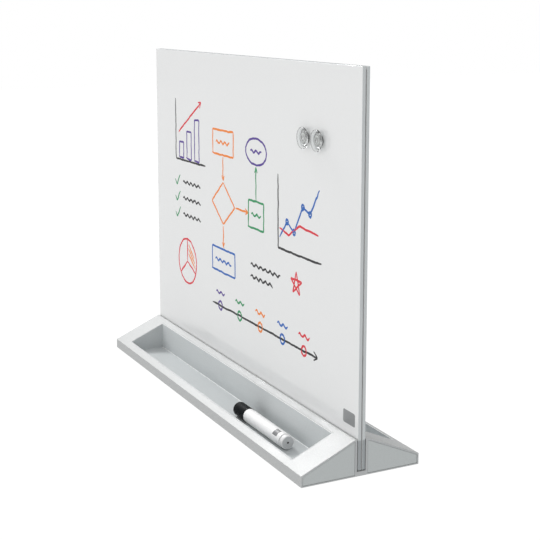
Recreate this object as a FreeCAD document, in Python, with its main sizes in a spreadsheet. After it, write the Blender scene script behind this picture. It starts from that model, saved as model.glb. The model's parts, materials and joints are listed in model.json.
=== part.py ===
"""Desk whiteboard easel: a magnetic glass board that stands in a long rail with two marker trays.

Frame: +X runs along the rail, -Y is the front, +Z is up. The origin is on the desk, under the middle
of the rail. All lengths are in millimetres.
"""

import FreeCAD, Part
import os
import re

import Sketcher

# Driving dimensions, one cell each in the sheet named Sizes
SIZES = {
    # The board: two panes, two steel sheets and a core
    "board_length": 600.0,
    "board_height": 450.0,
    "glass_thickness": 3.8,
    "glass_corner_radius": 1.2,
    "glass_arris": 0.35,
    "sheet_thickness": 0.5,
    "sheet_inset": 3.0,
    "core_thickness": 0.6,
    "core_inset": 4.0,
    # The rail: an extrusion with two chambers and a channel
    "rail_depth": 153.3,
    "lip_height": 13.2,
    "ridge_height": 43.3,
    "web_thickness": 1.5,
    "lip_wall": 2.0,
    "slope_wall": 2.0,
    "channel_wall": 2.4,
    "channel_floor_height": 5.5,
    "channel_side_gap": 1.05,
    "rail_edge_radius": 0.7,
    "rail_end_chamfer": 0.35,
    # The marker trays, measured inside their walls
    "tray_end_margin": 39.4,
    "tray_lip_margin": 10.3,
    "tray_ridge_margin": 8.35,
    "tray_wall": 1.5,
    "tray_floor": 1.2,
    "tray_fit": 0.1,
    "tray_floor_radius": 0.9,
    # The end caps
    "cap_plate": 2.0,
    "cap_recess": 0.3,
    "cap_fit": 0.15,
    "cap_edge_chamfer": 0.5,
    "skirt_depth": 10.0,
    "skirt_wall": 1.6,
    "skirt_step": 0.25,
    # Channel gaskets, setting blocks and feet
    "gasket_clearance": 0.1,
    "gasket_top_drop": 1.6,
    "gasket_end_inset": 1.0,
    "gasket_lead": 0.5,
    "block_thickness": 1.0,
    "block_length": 50.0,
    "block_side_clearance": 0.1,
    "foot_diameter": 12.0,
    "foot_height": 1.0,
    "foot_chamfer": 0.3,
    "foot_edge_margin": 13.0,
    "foot_end_margin": 30.0,
    # The magnets
    "magnet_right_margin": 91.0,
    "magnet_spacing": 33.2,
    "magnet_top_margin": 88.0,
    "magnet_seat_gap": 0.1,
    "knob_height": 6.2,
    "knob_foot_radius": 8.4,
    "knob_foot_thickness": 1.4,
    "knob_rim_radius": 12.8,
    "knob_rim_thickness": 1.8,
    "knob_rim_width": 1.2,
    "knob_edge": 0.5,
    "knob_flank_inset": 0.5,
    "knob_flank_rise": 0.5,
    "knob_waist_radius": 5.0,
    "dish_depth": 0.8,
    "dish_corner": 5.0,
    "boss_radius": 3.6,
    "boss_drop": 0.4,
    "disc_radius": 6.6,
    "disc_thickness": 2.4,
    "disc_fit": 0.05,
    "disc_recess": 0.2,
    "disc_edge": 0.3,
    # The marker
    "marker_length": 135.0,
    "marker_end_gap": 58.5,
    "marker_rest_gap": 0.3,
    "barrel_radius": 8.7,
    "barrel_wall": 1.5,
    "neck_radius": 7.4,
    "neck_length": 11.0,
    "marker_cap_radius": 9.1,
    "marker_cap_length": 30.0,
    "marker_cap_end": 1.8,
    "marker_cap_corner": 2.4,
    "marker_cap_fit": 0.1,
    "marker_cap_gap": 0.2,
    "plug_length": 8.0,
    "plug_radius": 8.4,
    "plug_face_radius": 7.4,
    "plug_shoulder": 1.6,
    "plug_shoulder_round": 1.9,
    "plug_groove_width": 0.7,
    "plug_groove_depth": 0.5,
    "plug_spigot": 8.0,
    "spigot_fit": 0.05,
    "dimple_radius": 1.4,
    "dimple_depth": 1.2,
    "nib_radius": 2.4,
    "nib_tip_gap": 0.9,
    "nib_tip_length": 4.2,
    "nib_tip_radius": 1.1,
    "holder_tip_radius": 3.5,
    "holder_cone_base": 5.7,
    "holder_flange_radius": 7.0,
    "holder_flange": 2.2,
    "holder_cone": 9.0,
    "holder_spigot": 8.0,
    "reservoir_radius": 6.6,
    "reservoir_gap": 1.0,
    "nib_socket": 5.0,
    "nib_fit": 0.05,
}

# Worked out from the sizes, one formula cell each in the sheet named Places
PLACES = {
    "half_length": "board_length / 2",
    "half_depth": "rail_depth / 2",
    "board_half": "glass_thickness + sheet_thickness + core_thickness / 2",
    "glass_inner": "board_half - glass_thickness",
    "channel_in": "board_half + channel_side_gap",
    "channel_out": "channel_in + channel_wall",
    "slope_ratio": "(ridge_height - lip_height) / (half_depth - channel_out)",
    "slope_stretch": "sqrt(1 + slope_ratio * slope_ratio)",
    "lip_inner": "half_depth - lip_wall",
    "tray_near": "channel_out + tray_ridge_margin",
    "tray_far": "half_depth - tray_lip_margin",
    "tray_middle": "(tray_near + tray_far) / 2",
    "tray_end": "half_length - tray_end_margin",
    "tray_floor_top": "web_thickness + tray_floor",
    "opening_near": "tray_near - tray_wall - tray_fit",
    "opening_far": "tray_far + tray_wall + tray_fit",
    "opening_end": "tray_end + tray_wall + tray_fit",
    "cap_back": "half_length - cap_recess - cap_plate",
    "skirt_inset": "cap_fit + skirt_step",
    "gasket_face": "board_half + gasket_clearance",
    "gasket_top": "ridge_height - gasket_top_drop",
    "block_half": "board_half - block_side_clearance",
    "board_foot": "foot_height + channel_floor_height + block_thickness",
    "foot_row": "half_depth - foot_edge_margin",
    "foot_end": "half_length - foot_end_margin",
    "magnet_level": "board_foot + board_height - magnet_top_margin",
    "marker_level": "foot_height + tray_floor_top + marker_cap_radius + marker_rest_gap",
    "marker_start": "tray_end - marker_end_gap - marker_length",
    "neck_start": "marker_cap_length - neck_length",
    "shoulder": "marker_cap_length + marker_cap_gap",
    "bore_radius": "barrel_radius - barrel_wall",
    "neck_bore": "neck_radius - barrel_wall",
    "bore_start": "shoulder + barrel_wall",
    "plug_start": "marker_length - plug_length",
    "spigot_end": "plug_start - plug_spigot",
    "cap_bore": "neck_radius + marker_cap_fit",
    "nib_tip": "marker_cap_end + nib_tip_gap",
    "reservoir_start": "bore_start + reservoir_gap",
    "flange_start": "neck_start - holder_flange",
    "cone_start": "flange_start - holder_cone",
    "nib_end": "reservoir_start + nib_socket",
}

# A turn about Z that makes a rear piece from a front one
HALF_TURN = FreeCAD.Rotation(FreeCAD.Vector(0, 0, 1), 180)
NO_TURN = FreeCAD.Rotation()

# Two places closer than this are the same place
SAME_PLACE = 1e-4

doc = FreeCAD.newDocument("easel")


def cell_names(formula, sheets):
    """Writes each named size or place in a formula as the cell of its sheet."""

    def cell(word):
        name = word.group(0)
        for sheet, names in sheets.items():
            if name in names:
                return f"{sheet}.{name}"
        return name

    return re.sub(r"[a-z]\w*", cell, formula)


def bound(formula):
    """The formula as an expression that any object of the document can use."""
    return cell_names(formula, {"Sizes": SIZES, "Places": PLACES})


def value(formula):
    """The number that a formula gives now."""
    return float(doc.getObject("Sizes").evalExpression(bound(formula)))


def make_spreadsheets():
    """The sheet of driving sizes and the sheet of places worked out from them."""
    sizes = doc.addObject("Spreadsheet::Sheet", "Sizes")
    for row, (name, number) in enumerate(SIZES.items(), start=1):
        sizes.set(f"A{row}", name)
        sizes.set(f"B{row}", str(number))
        sizes.setAlias(f"B{row}", name)
    doc.recompute()
    places = doc.addObject("Spreadsheet::Sheet", "Places")
    for row, (name, formula) in enumerate(PLACES.items(), start=1):
        places.set(f"A{row}", name)
        places.set(f"B{row}", "=" + cell_names(formula, {"Sizes": SIZES}))
        places.setAlias(f"B{row}", name)
    doc.recompute()


def new_body(label, level="0", turn=NO_TURN, along="0", across="0"):
    """An empty body at a place and turn of its own."""
    body = doc.addObject("PartDesign::Body", label)
    body.Label = label
    body.Placement = FreeCAD.Placement(FreeCAD.Vector(0, 0, 0), turn)
    body.setExpression("Placement.Base.x", bound(along))
    body.setExpression("Placement.Base.y", bound(across))
    body.setExpression("Placement.Base.z", bound(level))
    return body


def arc_between(start, end, radius, turn):
    """The short arc from start to end. A turn of 1 runs anticlockwise and -1 clockwise."""
    chord = end - start
    rise = (radius * radius - chord.Length * chord.Length / 4) ** 0.5
    side = FreeCAD.Vector(-chord.y, chord.x, 0).normalize() * turn
    centre = (start + end) / 2 + side * rise
    circle = Part.Circle(centre, FreeCAD.Vector(0, 0, 1), radius)
    first, last = (start, end) if turn > 0 else (end, start)
    return Part.ArcOfCircle(circle, circle.parameter(first), circle.parameter(last))


def add_outline(sketch, corners):
    """Draws a closed outline of corners (across, up).

    A corner that an arc leaves is (across, up, radius, turn).
    """
    places = [FreeCAD.Vector(value(corner[0]), value(corner[1]), 0) for corner in corners]
    ends = []
    for index, corner in enumerate(corners):
        start = places[index]
        end = places[(index + 1) % len(places)]
        if len(corner) == 2:
            line = sketch.addGeometry(Part.LineSegment(start, end), False)
            ends.append((line, 1, 2))
            continue
        arc = sketch.addGeometry(arc_between(start, end, value(corner[2]), corner[3]), False)
        ends.append((arc, 1, 2) if corner[3] > 0 else (arc, 2, 1))
        radius = sketch.addConstraint(Sketcher.Constraint("Radius", arc, value(corner[2])))
        sketch.setExpression(f"Constraints[{radius}]", bound(corner[2]))
    for index, (line, start, _) in enumerate(ends):
        before, _, end = ends[index - 1]
        sketch.addConstraint(Sketcher.Constraint("Coincident", before, end, line, start))
        for kind, formula in zip(("DistanceX", "DistanceY"), corners[index]):
            held = sketch.addConstraint(Sketcher.Constraint(kind, -1, 1, line, start, value(formula)))
            sketch.setExpression(f"Constraints[{held}]", bound(formula))


def add_sketch(body, name, role, outlines, offset="0"):
    """A sketch of closed outlines on one of the body's own origin planes, moved out by an offset."""
    sketch = body.newObject("Sketcher::SketchObject", f"{body.Label}_{name}")
    origin_plane = next(f for f in body.Origin.OriginFeatures if f.Role == role)
    sketch.AttachmentSupport = [(origin_plane, "")]
    sketch.MapMode = "FlatFace"
    sketch.setExpression("AttachmentOffset.Base.z", bound(offset))
    for corners in outlines:
        add_outline(sketch, corners)
    return sketch


def pad(body, sketch, length, both_ways=False, backwards=False):
    """Extrudes a sketch by a length."""
    feature = body.newObject("PartDesign::Pad", f"{sketch.Name}_pad")
    feature.Profile = sketch
    feature.setExpression("Length", bound(length))
    feature.Midplane = both_ways
    feature.Reversed = backwards
    doc.recompute()
    return feature


def cut_upwards(body, sketch):
    """Cuts a sketch out of all that lies above it, and makes sure that it cut something."""
    before = body.Shape.Volume
    feature = body.newObject("PartDesign::Pocket", f"{sketch.Name}_pocket")
    feature.Profile = sketch
    feature.Type = "ThroughAll"
    feature.Reversed = True
    doc.recompute()
    if not feature.Shape.Volume < before:
        raise RuntimeError(f"{feature.Name} cut nothing")
    return feature


def revolve(body, sketch, axis):
    """Turns a sketch fully about its horizontal (H_Axis) or vertical (V_Axis) axis."""
    feature = body.newObject("PartDesign::Revolution", f"{sketch.Name}_turned")
    feature.Profile = sketch
    feature.ReferenceAxis = (sketch, [axis])
    feature.Angle = 360
    doc.recompute()
    return feature


def dress(body, kind, edges, size):
    """Rounds (Fillet) or bevels (Chamfer) the edges of the body's last feature."""
    base = body.Tip
    feature = body.newObject(f"PartDesign::{kind}", f"{body.Label}_{kind.lower()}")
    feature.Base = (base, edges)
    feature.setExpression("Radius" if kind == "Fillet" else "Size", bound(size))
    doc.recompute()
    return feature


def edges_where(body, wanted):
    """The names of the edges of the body's last feature that pass a test."""
    edges = body.Tip.Shape.Edges
    return [f"Edge{count}" for count, edge in enumerate(edges, start=1) if wanted(edge)]


def lies_at(shape, axis, place):
    """True if every corner of an edge or a face is at one place along an axis."""
    return all(abs(getattr(vertex.Point, axis) - place) < SAME_PLACE for vertex in shape.Vertexes)


def slope_level(across, depth="0"):
    """Height of the slope over a place across the rail, or of a line that deep inside it."""
    fall = f"(abs({across}) - channel_out) * slope_ratio"
    return f"ridge_height - {fall} - ({depth}) * slope_stretch"


def chamber(inset, side="-"):
    """Outline of one chamber of the rail, drawn in by an inset on all four sides."""
    near = f"{side}(channel_out + ({inset}))"
    far = f"{side}(lip_inner - ({inset}))"
    depth = f"slope_wall + ({inset})"
    floor = f"web_thickness + ({inset})"
    return [(far, floor), (near, floor), (near, slope_level(near, depth)), (far, slope_level(far, depth))]


def box_outline(low_x, low_y, high_x, high_y):
    """A plain rectangle."""
    return [(low_x, low_y), (high_x, low_y), (high_x, high_y), (low_x, high_y)]


def make_rail():
    """The extruded rail: web, lips, slopes and channel, with a cut-out for a tray in each slope."""
    body = new_body("base_rail", "foot_height")
    section = [
        ("-half_depth", "0"),
        ("half_depth", "0"),
        ("half_depth", "lip_height"),
        ("channel_out", "ridge_height"),
        ("channel_in", "ridge_height"),
        ("channel_in", "channel_floor_height"),
        ("-channel_in", "channel_floor_height"),
        ("-channel_in", "ridge_height"),
        ("-channel_out", "ridge_height"),
        ("-half_depth", "lip_height"),
    ]
    outlines = [section, chamber("0"), chamber("0", "")]
    pad(body, add_sketch(body, "section", "YZ_Plane", outlines), "board_length", both_ways=True)

    ridge, half_depth, half_length = value("ridge_height"), value("half_depth"), value("half_length")

    def is_long_corner(edge):
        first, last = edge.Vertexes[0], edge.Vertexes[-1]
        runs_along = abs(first.X - last.X) > half_length
        at_side = abs(abs(first.Y) - half_depth) < SAME_PLACE
        return runs_along and (at_side or lies_at(edge, "z", ridge))

    dress(body, "Fillet", edges_where(body, is_long_corner), "rail_edge_radius")
    faces = body.Tip.Shape.Faces
    ends = [face for face in faces for end in (half_length, -half_length) if lies_at(face, "x", end)]
    rims = [edge for face in ends for edge in face.OuterWire.Edges]
    rim_names = edges_where(body, lambda edge: any(edge.isSame(rim) for rim in rims))
    dress(body, "Chamfer", rim_names, "rail_end_chamfer")
    openings = [
        box_outline("-opening_end", "-opening_far", "opening_end", "-opening_near"),
        box_outline("-opening_end", "opening_near", "opening_end", "opening_far"),
    ]
    cut_upwards(body, add_sketch(body, "openings", "XY_Plane", openings, "web_thickness"))
    return body


def make_tray(label, turn):
    """A trough liner: upright walls, a flat floor and a rim that is flush with the slope."""
    body = new_body(label, "foot_height", turn)
    near, far = "-(tray_near - tray_wall)", "-(tray_far + tray_wall)"
    block = [
        (far, "web_thickness"),
        (near, "web_thickness"),
        (near, slope_level(near)),
        (far, slope_level(far)),
    ]
    length = "2 * (tray_end + tray_wall)"
    pad(body, add_sketch(body, "block", "YZ_Plane", [block]), length, both_ways=True)
    trough = box_outline("-tray_end", "-tray_far", "tray_end", "-tray_near")
    cut_upwards(body, add_sketch(body, "trough", "XY_Plane", [trough], "tray_floor_top"))
    floor = value("tray_floor_top")
    dress(body, "Fillet", edges_where(body, lambda edge: lies_at(edge, "z", floor)), "tray_floor_radius")
    return body


def make_end_cap(label, right, turn):
    """A push-in plug for the end of a chamber: a plate, and a skirt that grips inside."""
    body = new_body(label, "foot_height", turn)
    sign = "" if right else "-"
    back = f"{sign}cap_back"
    plate = add_sketch(body, "plate", "YZ_Plane", [chamber("cap_fit")], back)
    pad(body, plate, "cap_plate", backwards=not right)
    face = value(f"{sign}(cap_back + cap_plate)")
    dress(body, "Chamfer", edges_where(body, lambda edge: lies_at(edge, "x", face)), "cap_edge_chamfer")
    ring = [chamber("skirt_inset"), chamber("skirt_inset + skirt_wall")]
    pad(body, add_sketch(body, "skirt", "YZ_Plane", ring, back), "skirt_depth", backwards=right)
    return body


def make_gasket(label, turn):
    """A strip that lines one wall of the channel, bevelled at the top to lead the board in."""
    body = new_body(label, "foot_height", turn)
    strip = [
        ("-channel_in", "channel_floor_height"),
        ("-gasket_face", "channel_floor_height"),
        ("-gasket_face", "gasket_top - gasket_lead"),
        ("-(gasket_face + channel_in) / 2", "gasket_top"),
        ("-channel_in", "gasket_top"),
    ]
    length = "board_length - 2 * gasket_end_inset"
    pad(body, add_sketch(body, "strip", "YZ_Plane", [strip]), length, both_ways=True)
    return body


def make_box(label, size, corner):
    """A plain block from the formulas of its three sizes and of its lowest corner."""
    block = doc.addObject("Part::Box", label)
    block.Label = label
    for name, formula in zip(("Length", "Width", "Height"), size):
        block.setExpression(name, bound(formula))
    for name, formula in zip("xyz", corner):
        block.setExpression(f"Placement.Base.{name}", bound(formula))
    return block


def make_setting_block(label, middle):
    """A rubber block on the floor of the channel, under a quarter point of the board."""
    size = ("block_length", "2 * block_half", "block_thickness")
    corner = (f"{middle} - block_length / 2", "-block_half", "foot_height + channel_floor_height")
    return make_box(label, size, corner)


def make_foot(label, along, across):
    """A round rubber pad under the rail."""
    body = new_body(label, "0", along=along, across=across)
    profile = [
        ("0", "0"),
        ("foot_diameter / 2 - foot_chamfer", "0"),
        ("foot_diameter / 2", "foot_chamfer"),
        ("foot_diameter / 2", "foot_height"),
        ("0", "foot_height"),
    ]
    revolve(body, add_sketch(body, "profile", "XZ_Plane", [profile]), "V_Axis")
    return body


def make_glass(label, turn):
    """A pane with rounded corners and a small bevel around its outer face."""
    body = new_body(label, "board_foot", turn)
    pane = box_outline("-half_length", "0", "half_length", "board_height")
    pad(body, add_sketch(body, "pane", "XZ_Plane", [pane], "glass_inner"), "glass_thickness")

    def is_corner(edge):
        return lies_at(edge, "x", edge.Vertexes[0].X) and lies_at(edge, "z", edge.Vertexes[0].Z)

    dress(body, "Fillet", edges_where(body, is_corner), "glass_corner_radius")
    face = -value("board_half")
    dress(body, "Chamfer", edges_where(body, lambda edge: lies_at(edge, "y", face)), "glass_arris")
    return body


def make_steel_sheet(label, low_y):
    """A steel sheet behind a pane."""
    size = ("board_length - 2 * sheet_inset", "sheet_thickness", "board_height - 2 * sheet_inset")
    return make_box(label, size, ("sheet_inset - half_length", low_y, "board_foot + sheet_inset"))


def make_core():
    """The adhesive core between the steel sheets."""
    size = ("board_length - 2 * core_inset", "core_thickness", "board_height - 2 * core_inset")
    corner = ("core_inset - half_length", "-core_thickness / 2", "board_foot + core_inset")
    return make_box("board_core", size, corner)


def make_knob(label, along):
    """A clear spool: foot, drawn-in waist, rim with a dished face and a boss, and a pocket for the disc."""
    body = new_body(label, "magnet_level", HALF_TURN, along, "-(board_half + magnet_seat_gap)")
    rim_back = "knob_height - knob_rim_thickness"
    pocket = "disc_radius + disc_fit"
    floor = "disc_recess + disc_thickness"
    dish = "knob_height - dish_depth"
    flank_foot = "knob_foot_thickness + knob_flank_rise"
    flank_rim = f"{rim_back} - knob_flank_rise"
    profile = [
        (pocket, "0"),
        ("knob_foot_radius - knob_edge", "0"),
        ("knob_foot_radius", "knob_edge"),
        ("knob_foot_radius", "knob_foot_thickness"),
        ("knob_foot_radius - knob_flank_inset", flank_foot, "knob_waist_radius", -1),
        ("knob_rim_radius - knob_flank_inset", flank_rim),
        ("knob_rim_radius", rim_back),
        ("knob_rim_radius", "knob_height - knob_edge", "knob_edge", 1),
        ("knob_rim_radius - knob_edge", "knob_height"),
        ("knob_rim_radius - knob_rim_width", "knob_height"),
        ("knob_rim_radius - knob_rim_width - dish_corner", dish),
        ("boss_radius", dish),
        ("boss_radius - knob_edge", "knob_height - boss_drop"),
        ("0", "knob_height - boss_drop"),
        ("0", floor),
        (pocket, floor),
    ]
    revolve(body, add_sketch(body, "profile", "XY_Plane", [profile]), "V_Axis")
    return body


def make_disc(label, along):
    """The magnet disc in the foot of a knob."""
    body = new_body(label, "magnet_level", HALF_TURN, along, "-(board_half + magnet_seat_gap)")
    profile = [
        ("0", "disc_recess"),
        ("disc_radius - disc_edge", "disc_recess"),
        ("disc_radius", "disc_recess + disc_edge"),
        ("disc_radius", "disc_recess + disc_thickness"),
        ("0", "disc_recess + disc_thickness"),
    ]
    revolve(body, add_sketch(body, "profile", "XY_Plane", [profile]), "V_Axis")
    return body


def marker_piece(label, profile):
    """A turned piece of the marker. Its profile is (along from the cap end, out from the axis)."""
    body = new_body(label, "marker_level", along="marker_start", across="-tray_middle")
    revolve(body, add_sketch(body, "profile", "XZ_Plane", [profile]), "H_Axis")
    return body


def make_barrel():
    """The barrel, stepped down to a neck that the cap slides over."""
    profile = [
        ("neck_start", "neck_bore"),
        ("neck_start", "neck_radius"),
        ("shoulder", "neck_radius"),
        ("shoulder", "barrel_radius"),
        ("plug_start", "barrel_radius"),
        ("plug_start", "bore_radius"),
        ("bore_start", "bore_radius"),
        ("bore_start", "neck_bore"),
    ]
    return marker_piece("marker_barrel", profile)


def make_plug():
    """The plug that closes the barrel, with a groove at the joint and a dimple in its face."""
    groove = "plug_radius - plug_groove_depth"
    profile = [
        ("spigot_end", "0"),
        ("spigot_end", "bore_radius - spigot_fit"),
        ("plug_start", "bore_radius - spigot_fit"),
        ("plug_start", groove),
        ("plug_start + plug_groove_width", groove),
        ("plug_start + plug_groove_width", "plug_radius"),
        ("marker_length - plug_shoulder", "plug_radius", "plug_shoulder_round", -1),
        ("marker_length", "plug_face_radius"),
        ("marker_length", "dimple_radius"),
        ("marker_length - dimple_depth", "dimple_radius"),
        ("marker_length - dimple_depth", "0"),
    ]
    return marker_piece("marker_end_plug", profile)


def make_reservoir():
    """The ink reservoir in the barrel, with a socket for the nib."""
    socket = "nib_radius + nib_fit"
    profile = [
        ("reservoir_start", socket),
        ("reservoir_start", "reservoir_radius"),
        ("spigot_end - reservoir_gap", "reservoir_radius"),
        ("spigot_end - reservoir_gap", "0"),
        ("nib_end", "0"),
        ("nib_end", socket),
    ]
    return marker_piece("marker_ink_reservoir", profile)


def make_holder():
    """The nib holder: a spigot in the neck, a flange against its end, and a cone round the nib."""
    bore = "nib_radius + nib_fit"
    profile = [
        ("cone_start", bore),
        ("cone_start", "holder_tip_radius"),
        ("flange_start", "holder_cone_base"),
        ("flange_start", "holder_flange_radius"),
        ("neck_start", "holder_flange_radius"),
        ("neck_start", "neck_bore - spigot_fit"),
        ("neck_start + holder_spigot", "neck_bore - spigot_fit"),
        ("neck_start + holder_spigot", bore),
    ]
    return marker_piece("marker_nib_holder", profile)


def make_nib():
    """The bullet nib."""
    profile = [
        ("nib_tip", "0"),
        ("nib_tip", "nib_tip_radius"),
        ("nib_tip + nib_tip_length", "nib_radius"),
        ("nib_end", "nib_radius"),
        ("nib_end", "0"),
    ]
    return marker_piece("marker_nib", profile)


def make_marker_cap():
    """The cap: a closed cup that slides over the neck."""
    profile = [
        ("0", "0"),
        ("0", "marker_cap_radius - marker_cap_corner", "marker_cap_corner", -1),
        ("marker_cap_corner", "marker_cap_radius"),
        ("marker_cap_length", "marker_cap_radius"),
        ("marker_cap_length", "cap_bore"),
        ("marker_cap_end", "cap_bore"),
        ("marker_cap_end", "0"),
    ]
    return marker_piece("marker_cap", profile)


def make_base():
    """Everything that stands on the desk and holds the board."""
    pieces = [make_rail()]
    for row, turn in (("front", NO_TURN), ("rear", HALF_TURN)):
        pieces.append(make_tray(f"{row}_marker_tray", turn))
        pieces.append(make_gasket(f"{row}_channel_gasket", turn))
        for end in ("left", "right"):
            drawn_right = (end == "right") == (row == "front")
            pieces.append(make_end_cap(f"{row}_{end}_end_cap", drawn_right, turn))
    for end, sign in (("left", "-"), ("right", "")):
        pieces.append(make_setting_block(f"{end}_setting_block", f"{sign}half_length / 2"))
    for row, across in (("front", "-foot_row"), ("rear", "foot_row")):
        for end, along in (("left", "-foot_end"), ("middle", "0"), ("right", "foot_end")):
            pieces.append(make_foot(f"{row}_{end}_foot", along, across))
    return pieces


def make_board():
    """The board: two panes, two steel sheets and the core."""
    return [
        make_glass("front_glass", NO_TURN),
        make_glass("rear_glass", HALF_TURN),
        make_steel_sheet("front_steel_sheet", "-(core_thickness / 2 + sheet_thickness)"),
        make_steel_sheet("rear_steel_sheet", "core_thickness / 2"),
        make_core(),
    ]


def make_magnets():
    """Two magnets near the top right of the board."""
    right = "half_length - magnet_right_margin"
    pieces = []
    for end, along in (("left", f"{right} - magnet_spacing"), ("right", right)):
        pieces.append(make_knob(f"{end}_magnet_knob", along))
        pieces.append(make_disc(f"{end}_magnet_disc", along))
    return pieces


def make_marker():
    """The marker, lying in the front tray with its cap to the left."""
    return [make_barrel(), make_plug(), make_reservoir(), make_holder(), make_nib(), make_marker_cap()]


def check(pieces):
    """Stops the build if any object failed or any piece is not one sound solid."""
    doc.recompute()
    for item in doc.Objects:
        if "Invalid" in item.State or "Error" in item.State:
            raise RuntimeError(f"{item.Name} failed: {item.State}")
    for piece in pieces:
        shape = piece.Shape
        if shape.isNull() or not shape.isValid() or len(shape.Solids) != 1:
            raise RuntimeError(f"{piece.Label} is not one sound solid")


def main():
    make_spreadsheets()
    pieces = make_base() + make_board() + make_magnets() + make_marker()
    check(pieces)
    os.makedirs("parts", exist_ok=True)
    for piece in pieces:
        piece.Shape.exportStep(f"parts/{piece.Label}.step")
    print(len(pieces), "pieces written")


main()
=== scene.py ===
"""Looks of a desk whiteboard easel: a magnetic glass board in a long rail with two marker trays.

All lengths are in metres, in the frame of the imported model: X runs along the rail, the front is at -Y
and Z points up.
"""

import json
import logging
import math
import random
from collections.abc import Callable, Iterator
from contextlib import contextmanager
from dataclasses import dataclass, replace
from enum import Enum
from functools import cache
from itertools import pairwise

import bmesh
import bpy
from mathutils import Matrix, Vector

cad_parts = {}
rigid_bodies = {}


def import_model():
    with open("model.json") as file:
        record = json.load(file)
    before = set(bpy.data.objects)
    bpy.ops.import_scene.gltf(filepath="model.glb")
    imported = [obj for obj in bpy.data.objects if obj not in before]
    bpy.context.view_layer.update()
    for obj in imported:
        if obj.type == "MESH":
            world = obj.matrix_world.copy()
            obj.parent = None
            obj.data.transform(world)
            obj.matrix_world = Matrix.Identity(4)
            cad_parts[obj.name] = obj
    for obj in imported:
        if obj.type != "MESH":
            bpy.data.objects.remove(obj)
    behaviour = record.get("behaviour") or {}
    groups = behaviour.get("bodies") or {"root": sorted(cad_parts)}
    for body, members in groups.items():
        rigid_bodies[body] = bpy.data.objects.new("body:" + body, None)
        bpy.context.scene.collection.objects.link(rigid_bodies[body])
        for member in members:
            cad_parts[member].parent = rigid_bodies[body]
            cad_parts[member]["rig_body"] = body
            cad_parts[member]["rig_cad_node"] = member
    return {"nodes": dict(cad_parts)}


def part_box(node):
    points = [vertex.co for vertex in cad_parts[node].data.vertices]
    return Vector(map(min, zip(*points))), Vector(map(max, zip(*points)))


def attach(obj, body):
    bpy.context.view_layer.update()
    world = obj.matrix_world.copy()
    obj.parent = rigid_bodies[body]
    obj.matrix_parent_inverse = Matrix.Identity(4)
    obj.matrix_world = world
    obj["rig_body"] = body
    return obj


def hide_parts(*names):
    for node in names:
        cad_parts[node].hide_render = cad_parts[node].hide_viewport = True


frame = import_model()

LOG = logging.getLogger("easel")
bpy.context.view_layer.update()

Colour = tuple[float, float, float, float]
Pair = tuple[float, float]
Outline = list[Pair]
Triple = tuple[float, float, float]
Socket = bpy.types.NodeSocket
Sockets = bpy.types.bpy_prop_collection
Item = bmesh.types.BMVert | bmesh.types.BMEdge | bmesh.types.BMFace

MM = 0.001
RIGHTWARDS = Vector((1, 0, 0))
FORWARDS = Vector((0, -1, 0))
WHITE = (1.0, 1.0, 1.0, 1.0)

# Corners nearer than this are one corner
SAME_CORNER = 2e-6
# Faces that meet at less than this angle are one flat face
FLAT_ANGLE = math.radians(0.5)
# Edges sharper than this get a bevel, and stay sharp when a piece is smoothed
SHARP_ANGLE = math.radians(30)
# A face whose unit normal reaches this far along an axis looks straight along it
STRAIGHT = 0.99

# How strong the finer layers of the grain are
GRAIN_LAYERS = 0.65
# Broad patches of more and less gloss in a metre
GLOSS_PATCHES = 16.0
# The mean of a noise pattern
NOISE_MEAN = 0.5
# Cosines between the rounded normal and the flat one where the painted edge highlight is full and where it
# ends
HIGHLIGHT_FULL, HIGHLIGHT_END = 0.80, 0.99
# Slant of a wiping cloth's smears in radians, and how much finer they are upwards
WIPE_SLANT, WIPE_STRETCH = 0.6, 3.5
# Levels of the smear pattern where haze starts and where it is full
HAZE_START, HAZE_FULL = 0.42, 0.72


def shade(red: int, green: int, blue: int) -> Colour:
    """Turns a display colour into a shader colour.

    Args:
        red: Display level of red, 0 to 255.
        green: Display level of green, 0 to 255.
        blue: Display level of blue, 0 to 255.

    Returns:
        The linear colour with full alpha.
    """

    def linear(level: int) -> float:
        """Undoes the display curve for one level."""
        share = level / 255
        return share / 12.92 if share <= 0.04045 else ((share + 0.055) / 1.055) ** 2.4

    return linear(red), linear(green), linear(blue), 1.0


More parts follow.
